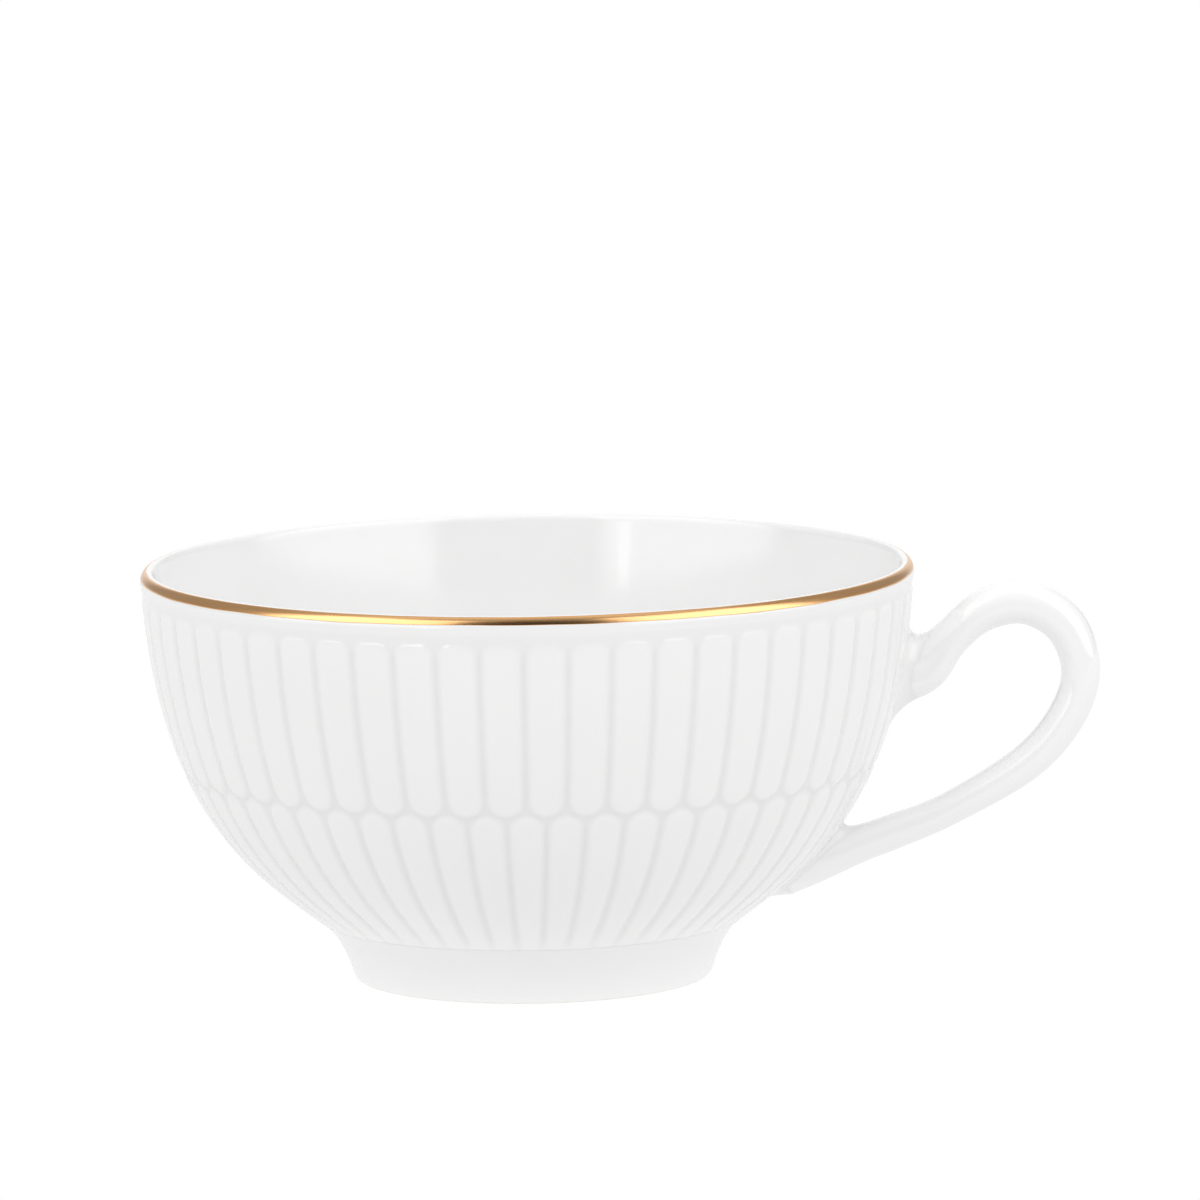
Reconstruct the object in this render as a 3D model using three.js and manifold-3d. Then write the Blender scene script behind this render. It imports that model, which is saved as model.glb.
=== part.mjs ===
// A fluted porcelain teacup with a gilded lip, in millimetres, +Z up, standing on z = 0.
//
// The cup is made the way a potter makes it: a cast bowl with its flutes moulded in, a turned
// foot ring stuck under it with slip, a pulled handle stuck on its side with slip at both
// roots, and a band of gold laid over the outer half of the lip.
// The handle points along +X. The origin is on the table, under the middle of the whole cup.

import * as THREE from 'three';
import { mergeVertices } from 'three/addons/utils/BufferGeometryUtils.js';
import Module from 'manifold-3d';

// Driving dimensions
const CUP_HEIGHT = 56;
const LIP_RADIUS = 52.5; // to the outside of the gilded lip
const LIP_ROUND = 1.1; // radius of the rounded lip, half its thickness
const BODY_BOTTOM = new THREE.Vector2(28.9, 8.1); // where the bowl meets the foot
const BODY_TOP = new THREE.Vector2(52.2, 54); // just under the lip
const FLOOR_HEIGHT = 8.2; // inside, in the middle
const UNDERSIDE_HEIGHT = 5; // outside, in the middle
const UNDERSIDE_RISE = 0.4; // up to the foot's hole
const UNDERSIDE_TURN = 3; // width of that rise
const FOOT_HOLE_RADIUS = 21.6;
const FOOT_REST_INNER = 22.4;
const FOOT_REST_OUTER = 24.1;
const FOOT_CHAMFER = 0.9; // up the inside of the hole

// Two tiers of flutes, the lower one turned by half a flute
const FLUTES = 56;
const FLUTE_DEPTH = 0.45;
const FLUTE_END = 1.1; // height over which a flute's rounded end rises
const UPPER_TIER = { bottom: 28.9, top: 52.9, steps: 4 };
const LOWER_TIER = { bottom: BODY_BOTTOM.y, top: 28.5, steps: 5 };
const PLAIN_BAND_EDGE = 0.2; // height of the step from the upper flutes to the plain band
const LIP_UNDERCUT_DEGREES = 25; // of the lip's round that shows below its widest point

// Slip seams and the gold
const SEAM_GAP = 0.2; // between a seam and the pieces on both sides of it
const FOOT_SEAM = 0.4;
const HANDLE_SEAM = 0.8;
const GOLD_THICKNESS = 0.25;
const GOLD_GAP = 0.05;
const FOOT_SEAM_START = 0.02; // as shares of the way from the foot's hole to the outside
const FOOT_SEAM_END = 0.84;

// The handle's centre line from the upper root, round the loop, to the lower root: distance
// from the cup's axis, height, thickness in the plane of the loop, and width across it
const HANDLE_STATIONS = [
  { x: 49.1, z: 43.1, thickness: 14.0, width: 10.4 },
  { x: 53.8, z: 43.0, thickness: 10.6, width: 8.8 },
  { x: 56.0, z: 44.0, thickness: 5.6, width: 7.4 },
  { x: 60.5, z: 48.2, thickness: 5.4, width: 7.0 },
  { x: 66.7, z: 49.8, thickness: 5.9, width: 7.0 },
  { x: 72.3, z: 46.7, thickness: 5.7, width: 6.9 },
  { x: 74.5, z: 40.3, thickness: 5.2, width: 6.6 },
  { x: 72.2, z: 33.7, thickness: 5.1, width: 6.3 },
  { x: 66.5, z: 27.5, thickness: 4.9, width: 6.0 },
  { x: 56.3, z: 21.6, thickness: 4.3, width: 5.8 },
  { x: 49.3, z: 18.8, thickness: 4.6, width: 6.2 },
  { x: 44.3, z: 17.0, thickness: 4.9, width: 6.8 },
  { x: 39.0, z: 15.2, thickness: 5.8, width: 7.6 },
  { x: 34.4, z: 13.4, thickness: 6.6, width: 8.2 },
];
const HANDLE_SQUARENESS = 2.3; // 2 is an ellipse, more is squarer

// How finely the round shapes are divided
const FLUTED_COLUMNS = 2 * FLUTES;
const PLAIN_COLUMNS = FLUTES;
const FOOT_STEPS = 12;
const BODY_STEPS = 24;
const FLOOR_STEPS = 8;
const LIP_STEPS = 3;
const HANDLE_STEPS = 48;
const HANDLE_SIDES = 24;

const porcelain = new THREE.MeshStandardMaterial({ color: 0xf3f2ee, roughness: 0.12 });
const footPorcelain = new THREE.MeshStandardMaterial({ color: 0xf1efe9, roughness: 0.2 });
const slip = new THREE.MeshStandardMaterial({ color: 0xebe8e0, roughness: 0.3 });
const gold = new THREE.MeshStandardMaterial({ color: 0xd8a648, roughness: 0.25, metalness: 1 });

const lipCentre = new THREE.Vector2(LIP_RADIUS - LIP_ROUND, CUP_HEIGHT - LIP_ROUND);

// The outside of the bowl, from the foot up to the lip
const bodyCurve = new THREE.CubicBezierCurve(
  BODY_BOTTOM,
  new THREE.Vector2(36.45, 14.2),
  new THREE.Vector2(50.1, 21.5),
  BODY_TOP,
);

// The inside of the bowl, from the lip down to the middle of the floor
const insideCurve = new THREE.CubicBezierCurve(
  new THREE.Vector2(lipCentre.x - LIP_ROUND, lipCentre.y),
  new THREE.Vector2(48.4, 22),
  new THREE.Vector2(36, FLOOR_HEIGHT),
  new THREE.Vector2(0, FLOOR_HEIGHT),
);

// The hollow flare of the foot, from the rest face up to the bowl
const footCurve = new THREE.QuadraticBezierCurve(
  new THREE.Vector2(FOOT_REST_OUTER, 0),
  new THREE.Vector2(25.9, 6.3),
  BODY_BOTTOM,
);

const library = await Module();
library.setup();

// A body of revolution round the Z axis, from an outline of distances and heights
function turned(outline, columns) {
  return new THREE.LatheGeometry(outline, columns).rotateX(Math.PI / 2);
}

function lipArc(radius, startDegrees, endDegrees, steps) {
  const points = [];
  for (let step = 0; step <= steps; step += 1) {
    const degrees = THREE.MathUtils.lerp(startDegrees, endDegrees, step / steps);
    const angle = THREE.MathUtils.degToRad(degrees);
    points.push(new THREE.Vector2(Math.cos(angle), Math.sin(angle)).multiplyScalar(radius));
  }
  return points.map((point) => point.add(lipCentre));
}

function bodyPointAt(height) {
  let low = 0;
  let high = 1;
  for (let halving = 0; halving < 30; halving += 1) {
    const middle = (low + high) / 2;
    if (bodyCurve.getPoint(middle).y < height) low = middle;
    else high = middle;
  }
  return bodyCurve.getPoint(low);
}

// How far the surface stands back at a height and at an angle round the cup. The flutes of
// the upper tier have their grooves where those of the lower tier have their ridges.
function fluteDepth(height, angle) {
  const isUpper = height >= UPPER_TIER.bottom;
  const tier = isUpper ? UPPER_TIER : LOWER_TIER;
  const runsOutAtFoot = !isUpper;
  const fromTop = tier.top - height;
  const fromBottom = runsOutAtFoot ? FLUTE_END : height - tier.bottom;
  if (fromTop < 0) return 0;
  const rise = Math.min(1, fromTop / FLUTE_END, fromBottom / FLUTE_END);
  const groove = 0.5 + (isUpper ? 0.5 : -0.5) * Math.cos(FLUTES * angle);
  return FLUTE_DEPTH * THREE.MathUtils.lerp(1, groove, rise);
}

function tierHeights(tier) {
  const heights = [];
  const bottom = tier === LOWER_TIER ? tier.bottom : tier.bottom + FLUTE_END;
  for (let step = 0; step <= tier.steps; step += 1) {
    heights.push(THREE.MathUtils.lerp(bottom, tier.top - FLUTE_END, step / tier.steps));
  }
  return heights;
}

function makeBowl() {
  const heights = [
    ...tierHeights(LOWER_TIER),
    LOWER_TIER.top,
    UPPER_TIER.bottom,
    ...tierHeights(UPPER_TIER),
    UPPER_TIER.top,
    UPPER_TIER.top + PLAIN_BAND_EDGE,
  ];
  const underside = [
    new THREE.Vector2(0, UNDERSIDE_HEIGHT),
    new THREE.Vector2(FOOT_HOLE_RADIUS - UNDERSIDE_TURN, UNDERSIDE_HEIGHT),
    new THREE.Vector2(FOOT_HOLE_RADIUS, UNDERSIDE_HEIGHT + UNDERSIDE_RISE),
  ];
  const outline = [
    ...underside,
    ...heights.map(bodyPointAt),
    ...lipArc(LIP_ROUND, -LIP_UNDERCUT_DEGREES, 0, 1),
    ...lipArc(LIP_ROUND - GOLD_THICKNESS - GOLD_GAP, 0, 90, LIP_STEPS),
    ...lipArc(LIP_ROUND, 90, 180, LIP_STEPS),
    ...insideCurve.getPoints(FLOOR_STEPS).slice(1),
  ];
  const geometry = turned(outline, FLUTED_COLUMNS);
  const flutedRows = heights.length;
  const position = geometry.attributes.position;
  for (let index = 0; index < position.count; index += 1) {
    const row = (index % outline.length) - underside.length;
    if (row < 0 || row >= flutedRows) continue;
    const point = new THREE.Vector3().fromBufferAttribute(position, index);
    const radius = Math.hypot(point.x, point.y);
    const depth = fluteDepth(point.z, Math.atan2(point.y, point.x));
    const share = (radius - depth) / radius;
    position.setXYZ(index, point.x * share, point.y * share, point.z);
  }
  return geometry;
}

// A point on the joint between bowl and foot, which slopes up from the foot's hole to the
// outside, and then some distance below it
const jointInner = new THREE.Vector2(FOOT_HOLE_RADIUS, UNDERSIDE_HEIGHT + UNDERSIDE_RISE);
const jointDirection = BODY_BOTTOM.clone().sub(jointInner).normalize();
const jointDown = new THREE.Vector2(jointDirection.y, -jointDirection.x);

function jointPoint(along, depth) {
  return jointInner.clone().lerp(BODY_BOTTOM, along).addScaledVector(jointDown, depth);
}

// The foot's top keeps room for the seam under the bowl
function makeFootRing() {
  const drop = FOOT_SEAM + 2 * SEAM_GAP;
  const isFoot = (point) => point.clone().sub(BODY_BOTTOM).dot(jointDown) > drop;
  const outline = [
    new THREE.Vector2(FOOT_REST_INNER, 0),
    ...footCurve.getPoints(FOOT_STEPS).filter(isFoot),
    jointPoint(0, drop),
    new THREE.Vector2(FOOT_HOLE_RADIUS, FOOT_CHAMFER),
    new THREE.Vector2(FOOT_REST_INNER, 0),
  ];
  return turned(outline, PLAIN_COLUMNS);
}

function makeFootSeam() {
  const bottom = SEAM_GAP + FOOT_SEAM;
  const outline = [
    jointPoint(FOOT_SEAM_START, bottom),
    jointPoint(FOOT_SEAM_END, bottom),
    jointPoint(FOOT_SEAM_END, SEAM_GAP),
    jointPoint(FOOT_SEAM_START, SEAM_GAP),
    jointPoint(FOOT_SEAM_START, bottom),
  ];
  return turned(outline, PLAIN_COLUMNS);
}

function makeGoldBand() {
  const edge = THREE.MathUtils.radToDeg(GOLD_GAP / LIP_ROUND);
  const outside = lipArc(LIP_ROUND, edge, 90 - edge, LIP_STEPS);
  const inside = lipArc(LIP_ROUND - GOLD_THICKNESS, 90 - edge, edge, LIP_STEPS);
  return turned([...outside, ...inside, outside[0]], FLUTED_COLUMNS);
}

// Everything within a distance of the bowl's ridges, as one filled body
function bowlWithMargin(margin) {
  const outline = [new THREE.Vector2(0, BODY_BOTTOM.y)];
  for (let step = 0; step <= BODY_STEPS; step += 1) {
    const tangent = bodyCurve.getTangent(step / BODY_STEPS);
    const outward = new THREE.Vector2(tangent.y, -tangent.x);
    outline.push(bodyCurve.getPoint(step / BODY_STEPS).addScaledVector(outward, margin));
  }
  outline.push(new THREE.Vector2(0, BODY_TOP.y));
  return toSolid(turned(outline, FLUTED_COLUMNS));
}

// A rounded bar bent along the centre line, long enough at both roots to enter the bowl
function makeHandleBlank() {
  const centreLine = new THREE.CatmullRomCurve3(
    HANDLE_STATIONS.map((station) => new THREE.Vector3(station.x, 0, station.z)),
    false,
    'catmullrom',
  );
  const sizes = new THREE.CatmullRomCurve3(
    HANDLE_STATIONS.map((station) => new THREE.Vector3(station.thickness, station.width, 0)),
    false,
    'catmullrom',
  );
  const geometry = new THREE.CylinderGeometry(1, 1, 1, HANDLE_SIDES, HANDLE_STEPS);
  const position = geometry.attributes.position;
  const power = 2 / HANDLE_SQUARENESS;
  for (let index = 0; index < position.count; index += 1) {
    const along = position.getY(index) + 0.5;
    const centre = centreLine.getPoint(along);
    const tangent = centreLine.getTangent(along);
    const size = sizes.getPoint(along);
    const across = position.getX(index);
    const sideways = position.getZ(index);
    const offset = Math.sign(across) * Math.abs(across) ** power * (size.x / 2);
    const breadth = Math.sign(sideways) * Math.abs(sideways) ** power * (size.y / 2);
    position.setXYZ(index, centre.x - tangent.z * offset, breadth, centre.z + tangent.x * offset);
  }
  return toSolid(geometry);
}

function toSolid(geometry) {
  const bare = geometry.clone();
  bare.deleteAttribute('normal');
  bare.deleteAttribute('uv');
  const merged = mergeVertices(bare, 1e-4);
  const mesh = new library.Mesh({
    numProp: 3,
    vertProperties: new Float32Array(merged.attributes.position.array),
    triVerts: new Uint32Array(merged.index.array),
  });
  return new library.Manifold(mesh);
}

function toGeometry(solid) {
  const mesh = solid.getMesh();
  const geometry = new THREE.BufferGeometry();
  geometry.setAttribute('position', new THREE.Float32BufferAttribute(mesh.vertProperties, 3));
  geometry.setIndex(new THREE.Uint32BufferAttribute(mesh.triVerts, 1));
  geometry.computeVertexNormals();
  return geometry;
}

// A block that holds everything above a height
function spaceAbove(height) {
  const size = 4 * LIP_RADIUS;
  return toSolid(new THREE.BoxGeometry(size, size, size).translate(0, 0, height + size / 2));
}

const handleBlank = makeHandleBlank();
const handle = handleBlank.subtract(bowlWithMargin(2 * SEAM_GAP + HANDLE_SEAM));
const rootSlip = handleBlank
  .intersect(bowlWithMargin(SEAM_GAP + HANDLE_SEAM))
  .subtract(bowlWithMargin(SEAM_GAP));
const upperHalf = spaceAbove(UPPER_TIER.bottom);

const cup = new THREE.Group();

function add(name, geometry, material) {
  const mesh = new THREE.Mesh(geometry, material);
  mesh.name = name;
  cup.add(mesh);
}

add('cup_bowl', makeBowl(), porcelain);
add('foot_slip_seam', makeFootSeam(), slip);
add('foot_ring', makeFootRing(), footPorcelain);
add('handle', toGeometry(handle), porcelain);
add('upper_slip_joint', toGeometry(rootSlip.intersect(upperHalf)), slip);
add('lower_slip_joint', toGeometry(rootSlip.subtract(upperHalf)), slip);
add('rim_gold_band', makeGoldBand(), gold);

// The origin goes under the middle of the whole cup, handle included
const extent = new THREE.Box3().setFromObject(cup);
cup.position.x = -(extent.min.x + extent.max.x) / 2;

export default cup;
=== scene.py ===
import math
import bmesh
import bpy
import numpy as np
from mathutils import Matrix, Quaternion, Vector


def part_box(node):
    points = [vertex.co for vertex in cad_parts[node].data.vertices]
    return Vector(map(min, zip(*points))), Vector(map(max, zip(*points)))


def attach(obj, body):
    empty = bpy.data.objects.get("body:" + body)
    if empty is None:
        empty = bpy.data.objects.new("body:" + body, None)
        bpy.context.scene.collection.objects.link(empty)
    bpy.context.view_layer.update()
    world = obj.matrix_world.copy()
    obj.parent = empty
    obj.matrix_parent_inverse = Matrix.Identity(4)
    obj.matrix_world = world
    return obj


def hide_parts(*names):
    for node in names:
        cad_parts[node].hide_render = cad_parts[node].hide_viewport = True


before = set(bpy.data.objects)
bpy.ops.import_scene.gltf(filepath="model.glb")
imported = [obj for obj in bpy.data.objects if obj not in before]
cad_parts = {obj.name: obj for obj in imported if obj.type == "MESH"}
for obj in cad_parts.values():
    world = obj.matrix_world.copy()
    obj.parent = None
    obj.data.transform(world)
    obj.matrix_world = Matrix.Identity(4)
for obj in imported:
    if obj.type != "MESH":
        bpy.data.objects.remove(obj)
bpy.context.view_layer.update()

# ---------------------------------------------------------------- camera
# A long lens looks slightly down at the cup, with the handle turned a little
# towards it. The cup's axis comes from the bowl's own box.
MM = 0.001
CAMERA_ROUND = math.radians(0.75)
CAMERA_ROLL = math.radians(-0.854)
CAMERA_PLACE = (0, -1310.3, 233.79)
CAMERA_AIM = (9.763, 0, 50.809)
LENS = 294.45

bowl_low, bowl_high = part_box("cup_bowl")
AXIS_X = (bowl_low[0] + bowl_high[0]) / 2
swing = Matrix.Rotation(CAMERA_ROUND, 3, "Z")
eye = swing @ Vector(CAMERA_PLACE) * MM + Vector((AXIS_X, 0, 0))
aim = swing @ Vector(CAMERA_AIM) * MM + Vector((AXIS_X, 0, 0))
camera_data = bpy.data.cameras.new("camera")
camera_data.lens = LENS
camera_data.sensor_width = 36
camera_data.clip_end = 20
camera = bpy.data.objects.new("camera", camera_data)
camera.location = eye
camera.rotation_mode = "QUATERNION"
level = (aim - eye).to_track_quat("-Z", "Y")
camera.rotation_quaternion = level @ Quaternion((0, 0, 1), CAMERA_ROLL)
bpy.context.collection.objects.link(camera)
bpy.context.scene.camera = camera
bpy.context.scene.view_settings.view_transform = "Standard"


# ---------------------------------------------------------------- bowl
# The bowl is a thin porcelain shell pressed in a fluted mould, in two tiers of
# panels set half a flute apart, then dipped in clear glaze. Painted shade darkens
# the grooves, more the deeper they lie. The foot and the handle hang on it.
class Amount:
    """A value on its way between shader nodes, so that sums are written as sums."""

    def __init__(self, recipe, socket):
        self.recipe = recipe
        self.socket = socket

    def sum(self, operation, first, second):
        return self.recipe.node("ShaderNodeMath", {"operation": operation}, {0: first, 1: second})

    def __add__(self, other):
        return self.sum("ADD", self, other)

    def __radd__(self, other):
        return self.sum("ADD", other, self)

    def __sub__(self, other):
        return self.sum("SUBTRACT", self, other)

    def __rsub__(self, other):
        return self.sum("SUBTRACT", other, self)

    def __mul__(self, other):
        return self.sum("MULTIPLY", self, other)

    def __rmul__(self, other):
        return self.sum("MULTIPLY", other, self)

    def __truediv__(self, other):
        return self.sum("DIVIDE", self, other)

    def __pow__(self, other):
        return self.sum("POWER", self, other)


class Recipe:
    """One material or world, built node by node."""

    def __init__(self, owner):
        owner.use_nodes = True
        self.tree = owner.node_tree
        self.tree.nodes.clear()

    def node(self, kind, settings=None, inputs=None, output=0):
        """A node with its settings set first, then the values or links of its sockets."""
        made = self.tree.nodes.new(kind)
        for name, value in (settings or {}).items():
            setattr(made, name, value)
        for name, value in (inputs or {}).items():
            if isinstance(value, Amount):
                self.tree.links.new(value.socket, made.inputs[name])
            else:
                made.inputs[name].default_value = value
        if len(made.outputs) == 0:
            return made
        return Amount(self, made.outputs[output])


def bezier(points, along):
    """Points on a Bezier curve at the shares in `along`."""
    points = [np.array(point, dtype=float)[None, :] for point in points]
    along = np.asarray(along, dtype=float)[:, None]
    while len(points) > 1:
        points = [one + (two - one) * along for one, two in zip(points, points[1:])]
    return points[0]


def revolve_grid(profile, columns):
    """Rows of points around the cup's axis from a profile of (radius, height) in mm."""
    angle = np.arange(columns) * 2 * math.pi / columns
    radius = profile[:, 0][:, None]
    grid = np.empty((len(profile), columns, 3))
    grid[:, :, 0] = radius * np.cos(angle)
    grid[:, :, 1] = radius * np.sin(angle)
    grid[:, :, 2] = profile[:, 1][:, None]
    return grid


def skin(name, grid, poles=None, marks=None):
    """A closed, smooth mesh over rows of points in mm, placed on the cup's axis.
    Without poles the last row joins the first; with poles each end closes on a point."""
    rows, columns = grid.shape[:2]
    points = grid.reshape(-1, 3)
    corner = np.arange(rows * columns).reshape(rows, columns)
    following = np.roll(corner, -1, axis=1)
    if poles is None:
        below = np.roll(corner, -1, axis=0)
        below_following = np.roll(following, -1, axis=0)
        faces = np.stack([corner, following, below_following, below], axis=-1).reshape(-1, 4).tolist()
    else:
        faces = np.stack([corner[:-1], following[:-1], following[1:], corner[1:]], axis=-1)
        faces = faces.reshape(-1, 4).tolist()
        points = np.vstack([points, np.array(poles, dtype=float)])
        first = rows * columns
        for column in range(columns):
            faces.append([int(following[0, column]), int(corner[0, column]), first])
            faces.append([int(corner[-1, column]), int(following[-1, column]), first + 1])
    points = points * MM + np.array([AXIS_X, 0, 0])
    mesh = bpy.data.meshes.new(name)
    mesh.from_pydata(points.tolist(), [], faces)
    if marks is not None:
        layer = mesh.attributes.new(marks[0], "FLOAT", "POINT")
        values = np.zeros(len(points))
        values[:marks[1].size] = marks[1].reshape(-1)
        layer.data.foreach_set("value", values)
    work = bmesh.new()
    work.from_mesh(mesh)
    bmesh.ops.recalc_face_normals(work, faces=work.faces)
    work.to_mesh(mesh)
    work.free()
    mesh.shade_smooth()
    piece = bpy.data.objects.new(name, mesh)
    bpy.context.collection.objects.link(piece)
    return piece


BODY_LINE = [(28.9, 8.1), (36.45, 14.2), (50.1, 21.5), (52.05, 54.0)]
UNDERSIDE = 5.0
INSIDE_FLOOR = 8.2
INSIDE_TOP = (50.3, 54.9)
INSIDE_LINE = [(48.7, 42.0), (47.2, 30.0), (40.0, INSIDE_FLOOR), (0.0, INSIDE_FLOOR)]
LIP_CREST = (50.95, 56.0)
LIP_WIDEST = (52.12, 54.3)
FLUTES = 56
FLUTE_DEPTH = 0.28
GROOVE_HALF = 0.45
SHOULDER = 0.52
UPPER_PANEL = (28.75, 52.3)
LOWER_PANEL_TOP = 28.7
PANEL_CORNER = 2.1
PANEL_TOP_CORNER = 1.5
BAND_EDGE = 53.3
LIP_FADE_START = 50.5
FOOT_FADE_START = 10.6
FADE_LENGTH = 2.5
COLUMNS = 18 * FLUTES

wall = bezier(BODY_LINE, np.linspace(0, 1, 2001))
wall_step = np.diff(wall, axis=0)
wall_length = np.concatenate([[0], np.cumsum(np.hypot(wall_step[:, 0], wall_step[:, 1]))])
wall_slope = np.gradient(wall, axis=0)
wall_slope = wall_slope / np.hypot(wall_slope[:, 0], wall_slope[:, 1])[:, None]
hollow = np.vstack([INSIDE_TOP, bezier(INSIDE_LINE, np.linspace(0, 1, 2001))])[::-1]


def up_the_wall(height):
    """Length along the wall's outer line, from the foot, at a height."""
    return np.interp(height, wall[:, 1], wall_length)


def rounded_panel(across, along, half_width, half_height, corner):
    """How far a point lies outside a panel with rounded corners, negative inside it."""
    side = np.abs(across) - half_width + corner
    end = np.abs(along) - half_height + corner
    outside = np.hypot(np.maximum(side, 0), np.maximum(end, 0))
    return outside + np.minimum(np.maximum(side, end), 0) - corner


def flute_relief(angle, height, radius):
    """How deep the moulded pattern lies below the panels, in mm. It grows shallow
    under the lip and towards the foot, where the flutes run out."""
    pitch = 2 * math.pi / FLUTES
    length = up_the_wall(height)
    half_width = pitch * radius / 2 - GROOVE_HALF
    upper_turn = (angle / pitch) % 1 - 0.5
    lower_turn = (angle / pitch + 0.5) % 1 - 0.5
    upper_ends = up_the_wall(np.array(UPPER_PANEL))
    upper_middle = upper_ends.mean()
    upper_half = (upper_ends[1] - upper_ends[0]) / 2
    upper_corner = np.where(length > upper_middle, PANEL_TOP_CORNER, PANEL_CORNER)
    upper_corner = np.minimum(upper_corner, half_width)
    upper_across = upper_turn * pitch * radius
    upper = rounded_panel(upper_across, length - upper_middle, half_width, upper_half, upper_corner)
    lower_top = up_the_wall(LOWER_PANEL_TOP)
    lower_corner = np.minimum(PANEL_CORNER, half_width)
    lower_across = lower_turn * pitch * radius
    lower = rounded_panel(lower_across, length, half_width, lower_top, lower_corner)
    band = up_the_wall(BAND_EDGE) - length
    gap = np.minimum(np.minimum(upper, lower), band)
    share = np.clip((gap + SHOULDER) / (GROOVE_HALF + SHOULDER), 0, 1)
    under_lip = np.clip((height - LIP_FADE_START) / FADE_LENGTH, 0, 1)
    run_out = np.clip((FOOT_FADE_START - height) / FADE_LENGTH, 0, 1) ** 2
    rounded = share * share * (3 - 2 * share)
    return FLUTE_DEPTH * rounded * (1 - 0.6 * under_lip) * (1 - 0.95 * run_out)


heights = np.concatenate([
    [8.1, 8.3, 8.6, 9.1, 9.8, 10.8, 12.0, 13.4, 15.0, 17.0, 19.2, 21.5, 23.6, 25.2],
    np.linspace(26.0, 31.0, 21),
    [31.8, 33.2, 35.5, 38.5, 42.0, 45.5, 48.0, 49.6],
    np.linspace(50.5, 54.0, 13),
])
wall_rows = np.stack([np.interp(heights, wall[:, 1], wall[:, 0]), heights], axis=1)
slope_rows = np.stack([np.interp(heights, wall[:, 1], wall_slope[:, k]) for k in (0, 1)], axis=1)
outer_turn = np.radians(np.linspace(0, 90, 10))
inner_turn = np.radians(np.linspace(105, 180, 6))


def outer_lip(lean, lift):
    """The outer half of the lip, from its widest line to its crest, lifted off it by a film."""
    across = (LIP_WIDEST[0] - LIP_CREST[0] + lift) * np.cos(lean)
    up = (LIP_CREST[1] - LIP_WIDEST[1] + lift) * np.sin(lean)
    return LIP_CREST[0] + across, LIP_WIDEST[1] + up


outer_rows = np.stack(outer_lip(outer_turn, 0), axis=1)
crest_round = (LIP_CREST[0] - INSIDE_TOP[0], LIP_CREST[1] - INSIDE_TOP[1])
inner_rows = np.stack([LIP_CREST[0] + crest_round[0] * np.cos(inner_turn),
                       INSIDE_TOP[1] + crest_round[1] * np.sin(inner_turn)], axis=1)
lip_rows = np.vstack([outer_rows, inner_rows])
straight_rows = np.linspace(INSIDE_TOP, INSIDE_LINE[0], 5)[1:-1]
inside_rows = np.vstack([straight_rows, bezier(INSIDE_LINE, np.linspace(0, 0.985, 17))])
under_rows = np.array([
    (1.5, UNDERSIDE), (10.0, UNDERSIDE), (18.0, UNDERSIDE), (20.4, 5.15),
    (21.6, 5.4), (25.2, 6.73), (28.82, 8.07),
])
bowl_profile = np.vstack([under_rows, wall_rows, lip_rows, inside_rows])
bowl_grid = revolve_grid(bowl_profile, COLUMNS)
angles = np.arange(COLUMNS) * 2 * math.pi / COLUMNS
first_wall = len(under_rows)
last_wall = first_wall + len(wall_rows)
relief = flute_relief(angles[None, :], wall_rows[:, 1][:, None], wall_rows[:, 0][:, None])
sunk_radius = wall_rows[:, 0][:, None] - relief * slope_rows[:, 1][:, None]
bowl_grid[first_wall:last_wall, :, 0] = sunk_radius * np.cos(angles)
bowl_grid[first_wall:last_wall, :, 1] = sunk_radius * np.sin(angles)
bowl_grid[first_wall:last_wall, :, 2] += relief * slope_rows[:, 0][:, None]
# How deep each point lies in a groove, from 0 to 1. It sets the painted shade in the grooves and a little
# more roughness there.
groove_shade_mask = np.zeros(bowl_grid.shape[:2])
groove_shade_mask[first_wall:last_wall] = relief / FLUTE_DEPTH
bowl_middles = [(0, 0, UNDERSIDE), (0, 0, INSIDE_FLOOR)]
bowl = skin("fluted_bowl", bowl_grid, poles=bowl_middles, marks=("painted_groove_shade", groove_shade_mask))

GLAZE_IOR = 1.52
MILKINESS = 0.12
SCATTER_COLOUR = (1.0, 0.95, 0.9)
SCATTER_DEPTH = 0.0012
GLAZE_RIPPLE = 0.00006


def glazed(recipe, colour, gloss, height, ripple, strength=0.5, milkiness=MILKINESS):
    """Clear glaze over porcelain, which ends a recipe. `ripple` is its waviness in metres."""
    bump_inputs = {"Strength": strength, "Distance": ripple, "Height": height}
    bumped = recipe.node("ShaderNodeBump", None, bump_inputs)
    shell = recipe.node("ShaderNodeBsdfPrincipled", {"subsurface_method": "RANDOM_WALK"}, {
        "Base Color": colour,
        "Roughness": gloss,
        "IOR": GLAZE_IOR,
        "Subsurface Weight": milkiness,
        "Subsurface Radius": SCATTER_COLOUR,
        "Subsurface Scale": SCATTER_DEPTH,
        "Normal": bumped,
    })
    recipe.node("ShaderNodeOutputMaterial", None, {"Surface": shell})


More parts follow.
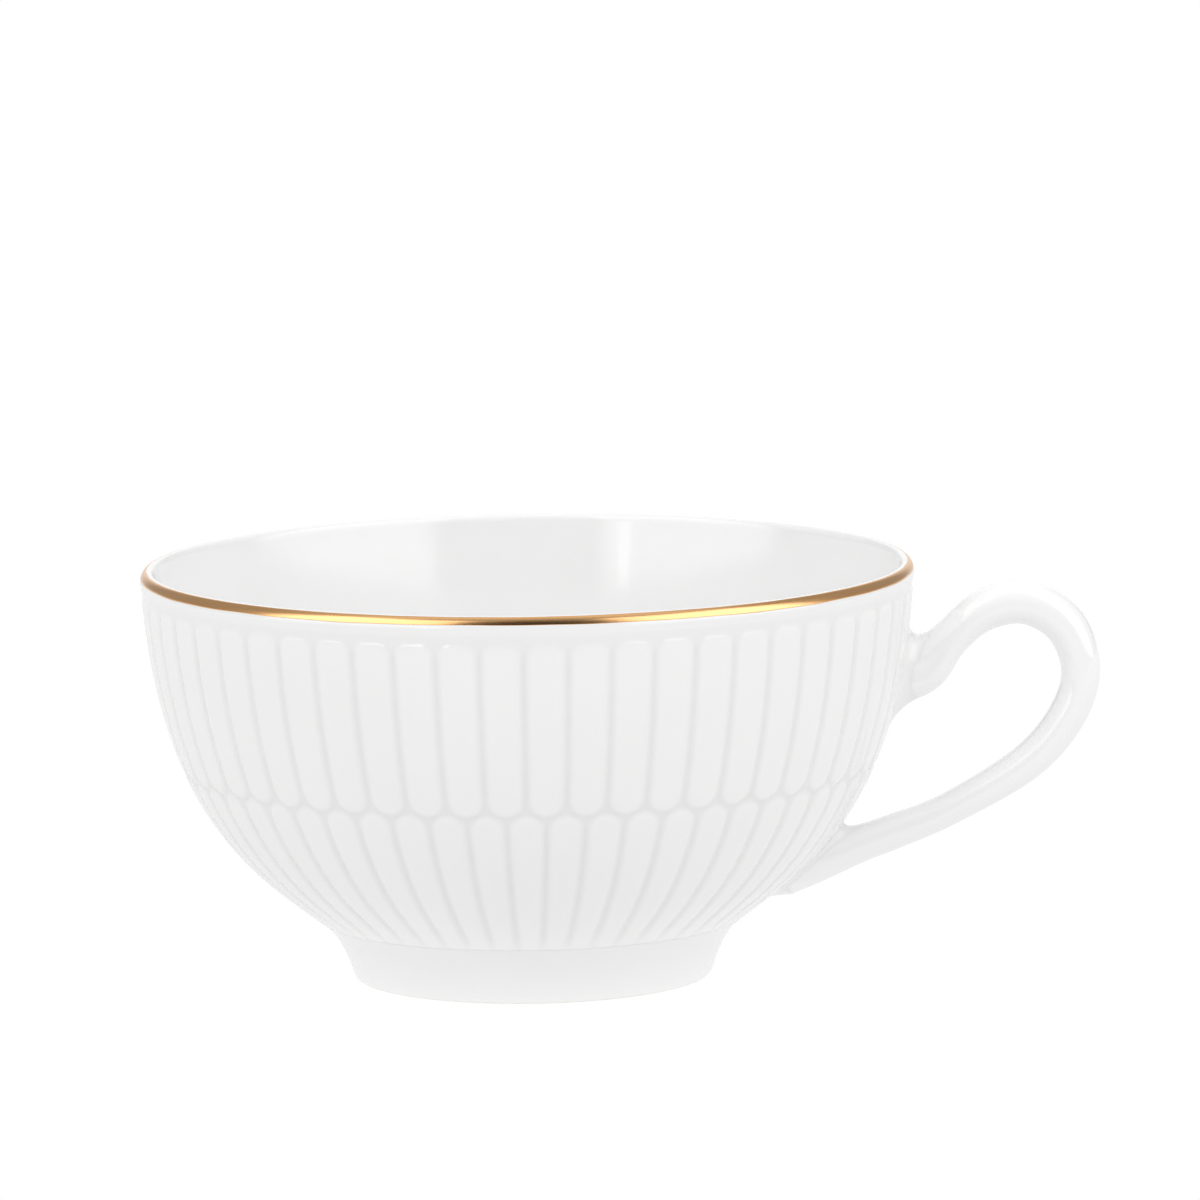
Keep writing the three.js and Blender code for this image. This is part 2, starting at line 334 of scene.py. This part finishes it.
bowl_glaze = bpy.data.materials.new("bowl_glaze")
glaze = Recipe(bowl_glaze)
place = glaze.node("ShaderNodeTexCoord", output="Object")
groove_shade = glaze.node("ShaderNodeAttribute", {"attribute_name": "painted_groove_shade"}, output="Fac")
cloud = glaze.node("ShaderNodeTexNoise", None, {"Vector": place, "Scale": 55, "Detail": 3, "Roughness": 0.6})
film = glaze.node("ShaderNodeTexNoise", None, {"Vector": place, "Scale": 420, "Detail": 2, "Roughness": 0.5})
peel = glaze.node("ShaderNodeTexNoise", None, {"Vector": place, "Scale": 1500, "Detail": 1, "Roughness": 0.5})
clay = glaze.node("ShaderNodeMix", {"data_type": "RGBA"},
                  {0: cloud, 6: (0.880, 0.880, 0.878, 1), 7: (0.905, 0.905, 0.905, 1)}, 2)
# Painted shade: the grooves are mixed towards a darker grey, darker the deeper they lie.
colour = glaze.node("ShaderNodeMix", {"data_type": "RGBA"},
                    {0: groove_shade * (0.5 + 0.4 * film), 6: clay, 7: (0.81, 0.81, 0.81, 1)}, 2)
height = cloud * 0.55 + film * 0.10 + peel * 0.018
gloss = 0.075 + 0.05 * film + 0.02 * groove_shade
glazed(glaze, colour, gloss, height, GLAZE_RIPPLE)
bowl.data.materials.append(bowl_glaze)
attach(bowl, "root")
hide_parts("cup_bowl")


# ---------------------------------------------------------------- foot seam
# Slip squeezed out between the bowl and the foot ring, wiped round with a wet
# brush into the inner corner and fired under the same glaze.
SEAM_OUTLINE = [
    # radius, height
    (26.6, 6.9), (26.6, 7.5), (21.4, 5.75), (19.6, 5.35), (19.55, 4.96),
    (20.6, 4.86), (21.3, 4.3), (21.66, 3.3), (21.9, 3.4), (22.2, 5.2),
]
SEAM_COLUMNS = 360
BRUSH_RIPPLE = 0.00007

seam_grid = revolve_grid(np.array(SEAM_OUTLINE), SEAM_COLUMNS)
seam_turn = np.arange(SEAM_COLUMNS) * 2 * math.pi / SEAM_COLUMNS
wiped = 0.05 * np.sin(9 * seam_turn + 0.6) + 0.04 * np.sin(23 * seam_turn) + 0.02 * np.sin(61 * seam_turn + 2)
seam_grid[5, :, 2] += wiped
seam_grid[6, :, 0] += wiped * np.cos(seam_turn)
seam_grid[6, :, 1] += wiped * np.sin(seam_turn)
seam = skin("foot_seam_slip", seam_grid)

slip = bpy.data.materials.new("slip")
paste = Recipe(slip)
place = paste.node("ShaderNodeTexCoord", output="Object")
smear = paste.node("ShaderNodeTexNoise", None, {"Vector": place, "Scale": 130, "Detail": 4, "Roughness": 0.6})
grit = paste.node("ShaderNodeTexNoise", None, {"Vector": place, "Scale": 900, "Detail": 2, "Roughness": 0.5})
colour = paste.node("ShaderNodeMix", {"data_type": "RGBA"},
                    {0: smear, 6: (0.860, 0.860, 0.855, 1), 7: (0.900, 0.900, 0.898, 1)}, 2)
height = smear * 0.7 + grit * 0.1
gloss = 0.08 + 0.06 * smear
glazed(paste, colour, gloss, height, BRUSH_RIPPLE)
seam.data.materials.append(slip)
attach(seam, "root")
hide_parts("foot_slip_seam")


# ---------------------------------------------------------------- foot ring
# A low ring of plain porcelain with a hollowed outside, thrown on its own and
# stuck under the bowl. It is glazed all over but for the rim that it stands on,
# which was wiped clean so that it didn't stick to the kiln shelf.
FOOT_LINE = [(24.1, 0.0), (25.9, 6.3), (28.9, 8.1)]
STANDING_EDGE = 24.2
EDGE_ROUND = 0.6
FOOT_COLUMNS = 480

cove = bezier(FOOT_LINE, np.linspace(0.07, 1, 22))[::-1]
edge_turn = np.radians(np.linspace(15, 90, 7))
edge = np.stack([STANDING_EDGE - EDGE_ROUND + EDGE_ROUND * np.cos(edge_turn),
                 EDGE_ROUND - EDGE_ROUND * np.sin(edge_turn)], axis=1)
inner_edge = np.array([
    (23.0, 0.0), (22.6, 0.03), (22.25, 0.18), (21.95, 0.5),
    (21.75, 1.0), (21.65, 2.0), (21.6, 3.5),
])
hidden = np.array([(21.7, 5.6), (24.5, 6.9), (27.6, 8.2), (28.5, 8.5), (28.86, 8.17)])
foot_profile = np.vstack([cove, edge, inner_edge, hidden])
foot_grid = revolve_grid(foot_profile, FOOT_COLUMNS)
foot = skin("hollowed_foot_ring", foot_grid)

foot_glaze = bpy.data.materials.new("foot_glaze")
ring = Recipe(foot_glaze)
place = ring.node("ShaderNodeTexCoord", output="Object")
parts = ring.node("ShaderNodeSeparateXYZ", None, {"Vector": place}, "Z")
cloud = ring.node("ShaderNodeTexNoise", None, {"Vector": place, "Scale": 60, "Detail": 3, "Roughness": 0.6})
film = ring.node("ShaderNodeTexNoise", None, {"Vector": place, "Scale": 420, "Detail": 2, "Roughness": 0.5})
grain = ring.node("ShaderNodeTexNoise", None, {"Vector": place, "Scale": 3200, "Detail": 3, "Roughness": 0.7})
wavy = parts + (film - 0.5) * 0.00022
bare = ring.node("ShaderNodeMapRange", None,
                 {"Value": wavy, "From Min": 0.00012, "From Max": 0.00022, "To Min": 1, "To Max": 0})
clay = ring.node("ShaderNodeMix", {"data_type": "RGBA"},
                 {0: cloud, 6: (0.838, 0.838, 0.836, 1), 7: (0.868, 0.868, 0.868, 1)}, 2)
biscuit = ring.node("ShaderNodeMix", {"data_type": "RGBA"},
                    {0: grain, 6: (0.70, 0.67, 0.62, 1), 7: (0.82, 0.79, 0.75, 1)}, 2)
colour = ring.node("ShaderNodeMix", {"data_type": "RGBA"}, {0: bare, 6: clay, 7: biscuit}, 2)
height = cloud * 0.55 + film * 0.10 + bare * grain * 0.5
gloss = 0.08 + 0.05 * film + 0.6 * bare
glazed(ring, colour, gloss, height, GLAZE_RIPPLE)
foot.data.materials.append(foot_glaze)
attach(foot, "root")
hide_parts("foot_ring")


# ---------------------------------------------------------------- handle
# The handle is cast solid in its own mould, a squarish oval in section, thin
# over the top of the loop and thickening to both roots. A shallow finger groove
# runs out along its side near the upper root.
HANDLE_STATIONS = np.array([
    # distance out, height, thickness in the loop's plane, width
    (46.05, 38.91, 8.65, 8.8),
    (50.10, 40.30, 8.13, 8.4),
    (53.45, 41.35, 6.85, 7.8),
    (57.09, 45.14, 5.14, 7.2),
    (61.42, 48.69, 5.54, 7.0),
    (67.19, 49.70, 5.84, 7.0),
    (72.45, 46.51, 5.73, 6.9),
    (74.45, 40.33, 5.22, 6.6),
    (72.32, 33.89, 5.07, 6.3),
    (66.72, 27.68, 4.89, 6.0),
    (56.37, 21.62, 4.33, 5.8),
    (49.09, 18.72, 4.65, 6.2),
    (44.47, 17.10, 4.88, 6.8),
    (37.71, 14.61, 5.85, 7.6),
    (31.46, 12.76, 7.13, 8.2),
])
SECTION_POWER = 2.3
GROOVE_DIP = 0.10
TIP_DISTANCE = 35.2
HANDLE_ROWS = 440
HANDLE_COLUMNS = 128
HANDLE_RIPPLE = 0.00003


def handle_point(along, turn):
    """A point on the handle, by stations along it and by the angle round its section."""
    before = 2 * HANDLE_STATIONS[0] - HANDLE_STATIONS[1]
    after = 2 * HANDLE_STATIONS[-1] - HANDLE_STATIONS[-2]
    line = np.vstack([before, HANDLE_STATIONS, after])
    along = np.asarray(along, dtype=float)
    turn = np.asarray(turn, dtype=float)
    span = np.clip(np.floor(along).astype(int), 0, len(HANDLE_STATIONS) - 2)
    t = (along - span)[..., None]
    p0, p1, p2, p3 = line[span], line[span + 1], line[span + 2], line[span + 3]
    bend = 2 * p0 - 5 * p1 + 4 * p2 - p3
    twist = 3 * p1 - p0 - 3 * p2 + p3
    middle = 0.5 * (2 * p1 + (p2 - p0) * t + bend * t ** 2 + twist * t ** 3)
    heading = 0.5 * ((p2 - p0) + 2 * bend * t + 3 * twist * t ** 2)
    size = np.hypot(heading[..., 0], heading[..., 1])
    way_x = heading[..., 0] / size
    way_z = heading[..., 1] / size
    round_x = np.sign(np.cos(turn)) * np.abs(np.cos(turn)) ** (2 / SECTION_POWER)
    round_y = np.sign(np.sin(turn)) * np.abs(np.sin(turn)) ** (2 / SECTION_POWER)
    dip = GROOVE_DIP * np.clip((3.6 - along) / 1.6, 0, 1) * np.exp(-(round_x / 0.42) ** 2)
    across = middle[..., 2] / 2 * round_x
    side = middle[..., 3] / 2 * round_y * (1 - dip)
    point = np.stack([middle[..., 0] - way_z * across, side, middle[..., 1] + way_x * across], axis=-1)
    centre = np.stack([middle[..., 0], 0 * side, middle[..., 1]], axis=-1)
    return point, centre


def outside_wall(point):
    """How far a point lies outside the bowl's outer line, and outside the middle of its wall."""
    reach = np.hypot(point[..., 0], point[..., 1])
    outer = np.interp(point[..., 2], wall[:, 1], wall[:, 0])
    inner = np.interp(point[..., 2], hollow[:, 1], hollow[:, 0])
    return reach - outer, reach - (outer + inner) / 2


def meeting(start, stop, turn, which):
    """Where each line of the handle passes through the bowl's wall, between two stations."""
    inside = np.full(len(turn), float(start))
    clear = np.full(len(turn), float(stop))
    for _ in range(30):
        half = (inside + clear) / 2
        away = outside_wall(handle_point(half, turn)[0])[which]
        clear = np.where(away > 0, half, clear)
        inside = np.where(away > 0, inside, half)
    return (inside + clear) / 2


LAST = len(HANDLE_STATIONS) - 1
handle_turn = np.arange(HANDLE_COLUMNS) * 2 * math.pi / HANDLE_COLUMNS
tip_search = np.linspace(LAST - 3, LAST, 3001)
tip_line = handle_point(tip_search, np.zeros(3001))[0]
TIP = tip_search[np.argmin(np.abs(tip_line[:, 0] - TIP_DISTANCE))]
root_start = meeting(0, 2.5, handle_turn, 1)
root_end = np.minimum(meeting(LAST, LAST - 3, handle_turn, 1), TIP)
even = np.linspace(0, 1, 2001)
spine = handle_point(root_start.mean() + (root_end.mean() - root_start.mean()) * even, 0 * even)[1]
travelled = np.concatenate([[0], np.cumsum(np.linalg.norm(np.diff(spine, axis=0), axis=1))])
shares = np.interp(np.linspace(0.002, 0.998, HANDLE_ROWS), travelled / travelled[-1], even)
shares = np.concatenate([[0, 0.0002], shares, [0.9998, 1]])[:, None]
handle_grid = handle_point(root_start + (root_end - root_start) * shares, handle_turn + 0 * shares)[0]
poles = [handle_grid[0].mean(axis=0), handle_grid[-1].mean(axis=0)]
handle = skin("looped_handle", handle_grid, poles=poles)

handle_glaze = bpy.data.materials.new("handle_glaze")
grip = Recipe(handle_glaze)
place = grip.node("ShaderNodeTexCoord", output="Object")
cloud = grip.node("ShaderNodeTexNoise", None, {"Vector": place, "Scale": 80, "Detail": 3, "Roughness": 0.6})
film = grip.node("ShaderNodeTexNoise", None, {"Vector": place, "Scale": 420, "Detail": 2, "Roughness": 0.5})
# Painted light: the handle's glaze is a lighter copy of the bowl's, standing in for the brighter light that
# falls on the handle.
colour = grip.node("ShaderNodeMix", {"data_type": "RGBA"},
                   {0: cloud, 6: (0.915, 0.915, 0.913, 1), 7: (0.935, 0.935, 0.935, 1)}, 2)
height = cloud * 0.5 + film * 0.08
gloss = 0.07 + 0.05 * film
glazed(grip, colour, gloss, height, HANDLE_RIPPLE, strength=0.4, milkiness=0)
handle.data.materials.append(handle_glaze)
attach(handle, "root")
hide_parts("handle")


# ---------------------------------------------------------------- upper slip joint
# Slip holds the handle's upper root to the bowl. It was smoothed with a damp
# brush into a soft hollow corner that fills the ends of the grooves.
WALL_SINK = 0.03
PAST_WALL = 0.5
PAST_WALL_SINK = 0.16
PAST_EDGE_SINK = 0.12
CORNER_STEPS = 15


def on_wall(point, sink):
    """The point moved straight out or in to the fluted wall, a little below its surface."""
    angle = np.arctan2(point[..., 1], point[..., 0])
    height = np.maximum(point[..., 2], 8.15)
    radius = np.interp(height, wall[:, 1], wall[:, 0])
    upright = np.interp(height, wall[:, 1], wall_slope[:, 1])
    reach = radius - (flute_relief(angle, height, radius) + sink) / upright
    return np.stack([reach * np.cos(angle), reach * np.sin(angle), height], axis=-1)


def slip_corner(name, turn, handle_edge, onward, corner, reach, sink):
    """A hollow corner between the handle and the bowl, closed behind inside both.
    The wall's edge lies `reach` mm from the corner, straight away from the handle."""
    edge, centre = handle_point(handle_edge, turn)
    middle = corner.mean(axis=0)
    angle = np.arctan2(corner[:, 1], corner[:, 0])
    upright = np.interp(corner[:, 2], wall[:, 1], wall_slope[:, 1])
    leaning = np.interp(corner[:, 2], wall[:, 1], wall_slope[:, 0])
    facing = np.stack([upright * np.cos(angle), upright * np.sin(angle), -leaning], axis=-1)
    away = corner - middle
    away = away - (away * facing).sum(axis=1)[:, None] * facing
    away = away / np.linalg.norm(away, axis=1)[:, None]
    foot_edge = on_wall(corner + away * reach[:, None], WALL_SINK)
    past_wall = on_wall(corner + away * (reach[:, None] + PAST_WALL), PAST_WALL_SINK)
    edge = edge + (centre - edge) * (sink / np.linalg.norm(centre - edge, axis=1))[:, None]
    past_edge, past_centre = handle_point(onward, turn)
    inward = past_centre - past_edge
    past_edge = past_edge + inward * (PAST_EDGE_SINK / np.linalg.norm(inward, axis=1))[:, None]
    rows = [past_edge]
    for share in np.linspace(0, 1, CORNER_STEPS):
        bend = edge * (1 - share) ** 2 + corner * 2 * share * (1 - share) + foot_edge * share ** 2
        rows.append(bend)
    rows.append(past_wall)
    rows.append(past_wall - facing * 0.7)
    rows.append(corner + (middle - corner) * 0.22 - facing * 0.8)
    rows.append(past_edge + (past_centre - past_edge) * 0.3)
    return skin(name, np.array(rows))


def further(start, turn, distance, way):
    """Stations reached by going `distance` mm from `start` along each line of the handle."""
    stations = start + way * np.linspace(0, 2.4, 121)[:, None]
    line = handle_point(stations, turn + 0 * stations)[0]
    gone = np.vstack([0 * start, np.cumsum(np.linalg.norm(np.diff(line, axis=0), axis=2), axis=0)])
    return np.array([np.interp(distance[k], gone[:, k], stations[:, k]) for k in range(len(start))])


SLIP_LINES = 200
SLIP_SINK = 0.015

upper_turn = np.arange(SLIP_LINES) * 2 * math.pi / SLIP_LINES
upper_meet = meeting(0, 3.2, upper_turn, 0)
outer_side = np.maximum(np.cos(upper_turn), 0) ** 2
inner_side = np.maximum(-np.cos(upper_turn), 0) ** 2
upper_reach = 2.0 + 1.9 * outer_side + 2.0 * inner_side
upper_corner = handle_point(upper_meet, upper_turn)[0]
upper_edge = further(upper_meet, upper_turn, upper_reach, 1)
upper_past = further(upper_meet, upper_turn, upper_reach + 0.5, 1)
upper_joint = slip_corner(
    "upper_root_slip", upper_turn, upper_edge, upper_past, upper_corner, upper_reach, SLIP_SINK)
upper_joint.data.materials.append(slip)
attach(upper_joint, "root")
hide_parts("upper_slip_joint")


# ---------------------------------------------------------------- lower slip joint
# Slip holds the lower root, which comes in at a slant and ends in a crisp tip
# just clear of the wall. The slip runs from the tip back to the bowl.
lower_turn = np.arange(SLIP_LINES) * 2 * math.pi / SLIP_LINES
lower_meet = meeting(LAST, LAST - 3, lower_turn, 0)
short = np.clip((lower_meet - TIP) / 0.25, 0, 1)
lower_stop = np.minimum(lower_meet, TIP)
lower_corner = handle_point(lower_stop, lower_turn)[0]
wall_corner = lower_corner.copy()
wall_corner[:, 2] -= 0.2 * short
wall_angle = np.arctan2(wall_corner[:, 1], wall_corner[:, 0])
wall_reach = np.interp(wall_corner[:, 2], wall[:, 1], wall[:, 0])
wall_corner[:, 0] = np.sqrt(np.maximum(wall_reach ** 2 - wall_corner[:, 1] ** 2, 0))
lower_corner = lower_corner + (wall_corner - lower_corner) * short[:, None]
lower_outer = np.maximum(np.cos(lower_turn), 0) ** 2
lower_inner = np.maximum(-np.cos(lower_turn), 0) ** 2
lower_reach = 1.9 + 3.2 * lower_inner - 1.2 * lower_outer
lower_back = (1.9 + 3.2 * lower_inner) * (1 - short)
lower_edge = further(lower_stop, lower_turn, lower_back, -1) + 0.006 * short
lower_past = further(lower_stop, lower_turn, lower_back + 0.4, -1)
lower_sink = SLIP_SINK - 0.05 * short
lower_joint = slip_corner(
    "lower_root_slip", lower_turn, lower_edge, lower_past, lower_corner, lower_reach, lower_sink)
lower_joint.data.materials.append(slip)
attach(lower_joint, "root")
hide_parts("lower_slip_joint")


# ---------------------------------------------------------------- gold band
# Liquid gold brushed round the outer half of the lip on a turning wheel and
# fired on last. It is a thin film with brush marks along it and edges that
# waver a little.
GOLD_START = 18.0
GOLD_END = 76.0
GOLD_LIFT = 0.03
GOLD_COLUMNS = 720
LOW_WAVER = [(1.6, 3, 0.4), (0.9, 11, 2.0), (0.6, 29, 1.1)]
HIGH_WAVER = [(1.4, 2, 1.7), (0.9, 9, 0.0), (0.6, 37, 0.3)]


def wavering(middle, waves):
    """An edge of the gold, in radians up the lip, round the cup."""
    edge = middle
    for size, count, shift in waves:
        edge = edge + size * np.sin(count * gold_turn + shift)
    return np.radians(edge)


gold_turn = np.arange(GOLD_COLUMNS) * 2 * math.pi / GOLD_COLUMNS
low_edge = wavering(GOLD_START, LOW_WAVER)
high_edge = wavering(GOLD_END, HIGH_WAVER)
gold_rows = []
for share in np.linspace(0, 1, 14):
    lift = GOLD_LIFT * math.sin(math.pi * share) ** 0.35 if 0 < share < 1 else -0.01
    radius, rise = outer_lip(low_edge + (high_edge - low_edge) * share, lift)
    gold_rows.append(np.stack([radius * np.cos(gold_turn), radius * np.sin(gold_turn), rise], axis=-1))
for share in (0.95, 0.65, 0.35, 0.05):
    radius, rise = outer_lip(low_edge + (high_edge - low_edge) * share, -0.2)
    gold_rows.append(np.stack([radius * np.cos(gold_turn), radius * np.sin(gold_turn), rise], axis=-1))
gold_band = skin("gilded_lip", np.array(gold_rows))

gold = bpy.data.materials.new("gold")
leaf = Recipe(gold)
place = leaf.node("ShaderNodeTexCoord", output="Object")
centred = leaf.node("ShaderNodeVectorMath", {"operation": "SUBTRACT"}, {0: place, 1: (AXIS_X, 0, 0)})
apart_x = leaf.node("ShaderNodeSeparateXYZ", None, {"Vector": centred}, "X")
apart_y = leaf.node("ShaderNodeSeparateXYZ", None, {"Vector": centred}, "Y")
apart_z = leaf.node("ShaderNodeSeparateXYZ", None, {"Vector": centred}, "Z")
reach = (apart_x * apart_x + apart_y * apart_y) ** 0.5
lines = leaf.node("ShaderNodeCombineXYZ", None, {
    "X": apart_x * 55 / reach * 0.04,
    "Y": apart_y * 55 / reach * 0.04,
    "Z": (apart_z - reach) * 2200,
})
stroke = leaf.node("ShaderNodeTexNoise", None, {"Vector": lines, "Scale": 1.0, "Detail": 4, "Roughness": 0.6})
patch = leaf.node("ShaderNodeTexNoise", None, {"Vector": place, "Scale": 150, "Detail": 3, "Roughness": 0.6})
colour = leaf.node("ShaderNodeMix", {"data_type": "RGBA"},
                   {0: stroke, 6: (0.80, 0.44, 0.19, 1), 7: (0.95, 0.57, 0.27, 1)}, 2)
height = stroke * 0.6 + patch * 0.4
bumped = leaf.node("ShaderNodeBump", None, {"Strength": 0.4, "Distance": 0.00005, "Height": height})
metal = leaf.node("ShaderNodeBsdfPrincipled", None, {
    "Base Color": colour,
    "Metallic": 1.0,
    "Roughness": 0.12 + 0.14 * stroke + 0.06 * patch,
    "Normal": bumped,
})
leaf.node("ShaderNodeOutputMaterial", None, {"Surface": metal})
gold_band.data.materials.append(gold)
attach(gold_band, "root")
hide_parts("rim_gold_band")


# ---------------------------------------------------------------- floor
# A white sweep that the cup stands on, bright close round the foot. From below
# it lets the view through.
FLOOR_RADIUS = 4.0
FLOOR_GLOW = 0.90
GLOW_AT_FOOT = 1.08
MIRRORED_NEAR = 0.92
MIRRORED_FAR = 0.15

floor_mesh = bpy.data.meshes.new("floor")
work = bmesh.new()
bmesh.ops.create_circle(work, cap_ends=True, segments=96, radius=FLOOR_RADIUS)
work.to_mesh(floor_mesh)
work.free()
floor = bpy.data.objects.new("floor", floor_mesh)
bpy.context.collection.objects.link(floor)
floor.location.x = AXIS_X
paper = bpy.data.materials.new("paper")
sweep = Recipe(paper)
seen = sweep.node("ShaderNodeLightPath", output="Is Camera Ray")
from_below = sweep.node("ShaderNodeNewGeometry", output="Backfacing")
spot = sweep.node("ShaderNodeTexCoord", output="Object")
forward = sweep.node("ShaderNodeSeparateXYZ", None, {"Vector": spot}, "Y")
fade = sweep.node("ShaderNodeMapRange", {"interpolation_type": "SMOOTHSTEP"}, {
    "Value": forward,
    "From Min": -0.42,
    "From Max": -0.14,
    "To Min": MIRRORED_FAR,
    "To Max": MIRRORED_NEAR,
})
mirrored = sweep.node("ShaderNodeLightPath", output="Is Glossy Ray")
reach = sweep.node("ShaderNodeVectorMath", {"operation": "LENGTH"}, {0: spot}, "Value")
close = sweep.node("ShaderNodeMapRange", {"interpolation_type": "SMOOTHSTEP"}, {
    "Value": reach,
    "From Min": 0.029,
    "From Max": 0.036,
    "To Min": GLOW_AT_FOOT,
    "To Max": FLOOR_GLOW,
})
strength = close + (fade - close) * mirrored
glow = sweep.node("ShaderNodeEmission", None, {"Color": strength, "Strength": 1.0})
white = sweep.node("ShaderNodeEmission", None, {"Color": (1, 1, 1, 1), "Strength": 1.0})
clear = sweep.node("ShaderNodeBsdfTransparent", None, {"Color": (1, 1, 1, 1)})
lit = sweep.node("ShaderNodeMixShader", None, {0: seen, 1: glow, 2: white})
sheet = sweep.node("ShaderNodeMixShader", None, {0: from_below, 1: lit, 2: clear})
sweep.node("ShaderNodeOutputMaterial", None, {"Surface": sheet})
floor_mesh.materials.append(paper)
paper.cycles.emission_sampling = "NONE"


# ---------------------------------------------------------------- light
# Two tall soft boxes stand either side of the camera, with a narrow strip light
# between them on the left and a white backdrop behind. The matt shading comes
# from flat lamps, and their shapes in the glaze and the gold from the room.
SOFT_BOXES = [
    # name, degrees round from the camera's side and up from level, width, height, radiance
    ("soft_box_left", -50, 28, 0.8, 0.9, 0.85),
    ("soft_box_right", 56, 28, 0.8, 0.9, 0.95),
    ("top_light", 0, 80, 1.0, 0.8, 0.45),
]
LAMP_AIM_HEIGHT = 0.03
BOX_GLOW = 1.9
STRIP_GLOW = 2.2


def soft_box(name, azimuth, elevation, width, height, radiance):
    """A flat light facing the cup, 1 m away. Azimuth counts from the camera's side to +X."""
    bearing = math.radians(azimuth)
    rise = math.radians(elevation)
    level = math.cos(rise)
    way = Vector((level * math.sin(bearing), -level * math.cos(bearing), math.sin(rise)))
    data = bpy.data.lights.new(name, "AREA")
    data.shape = "RECTANGLE"
    data.size = width
    data.size_y = height
    data.energy = radiance * math.pi * width * height
    lamp = bpy.data.objects.new(name, data)
    lamp.location = Vector((AXIS_X, 0, LAMP_AIM_HEIGHT)) + way
    lamp.rotation_mode = "QUATERNION"
    lamp.rotation_quaternion = way.to_track_quat("Z", "Y")
    lamp.visible_glossy = False
    bpy.context.collection.objects.link(lamp)


for lamp_facts in SOFT_BOXES:
    soft_box(*lamp_facts)

world = bpy.data.worlds.new("room")
bpy.context.scene.world = world
room = Recipe(world)
way = room.node("ShaderNodeTexCoord", output="Generated")
across = room.node("ShaderNodeSeparateXYZ", None, {"Vector": way}, "X")
deep = room.node("ShaderNodeSeparateXYZ", None, {"Vector": way}, "Y")
rise = room.node("ShaderNodeSeparateXYZ", None, {"Vector": way}, "Z")
bearing = room.node("ShaderNodeMath", {"operation": "ARCTAN2"}, {0: across, 1: 0 - deep}) * (180 / math.pi)
tilt = room.node("ShaderNodeMath", {"operation": "ARCSINE"}, {0: rise}) * (180 / math.pi)


def step(value, low, high):
    """A smooth climb from 0 at `low` to 1 at `high`."""
    settings = {"interpolation_type": "SMOOTHSTEP"}
    return room.node("ShaderNodeMapRange", settings, {"Value": value, "From Min": low, "From Max": high})


def window(left, right, bottom, top, soft):
    """A soft-edged lit panel, in degrees round from the camera's side and up from level."""
    sides = step(bearing, left - soft, left + soft) * (1 - step(bearing, right - soft, right + soft))
    ends = step(tilt, bottom - soft, bottom + soft) * (1 - step(tilt, top - soft, top + soft))
    return sides * ends


turned = room.node("ShaderNodeMath", {"operation": "ABSOLUTE"}, {0: bearing})
walls = 0.05 + 0.33 * step(turned, 15, 95)
ceiling = step(tilt, 42, 75) * 0.5
backdrop = step(turned, 150, 170) * (1 - step(tilt, 35, 60)) * 0.6
boxes = window(-83, -23, -12, 58, 3) * BOX_GLOW + window(30, 94, -12, 56, 3) * BOX_GLOW
lamps = boxes + window(-32.2, -28.2, -6, 7, 0.6) * STRIP_GLOW
mirrored = walls + ceiling + backdrop + lamps
seen = room.node("ShaderNodeLightPath", output="Is Camera Ray")
glossy = room.node("ShaderNodeLightPath", output="Is Glossy Ray")
matt = 0.57 + 0.40 * step(rise, 0.1, 0.95)
shade = matt + (mirrored - matt) * glossy
dim = room.node("ShaderNodeBackground", None, {"Color": shade, "Strength": 1.0})
plain = room.node("ShaderNodeBackground", None, {"Color": (1, 1, 1, 1), "Strength": 1.0})
both = room.node("ShaderNodeMixShader", None, {0: seen, 1: dim, 2: plain})
room.node("ShaderNodeOutputWorld", None, {"Surface": both})
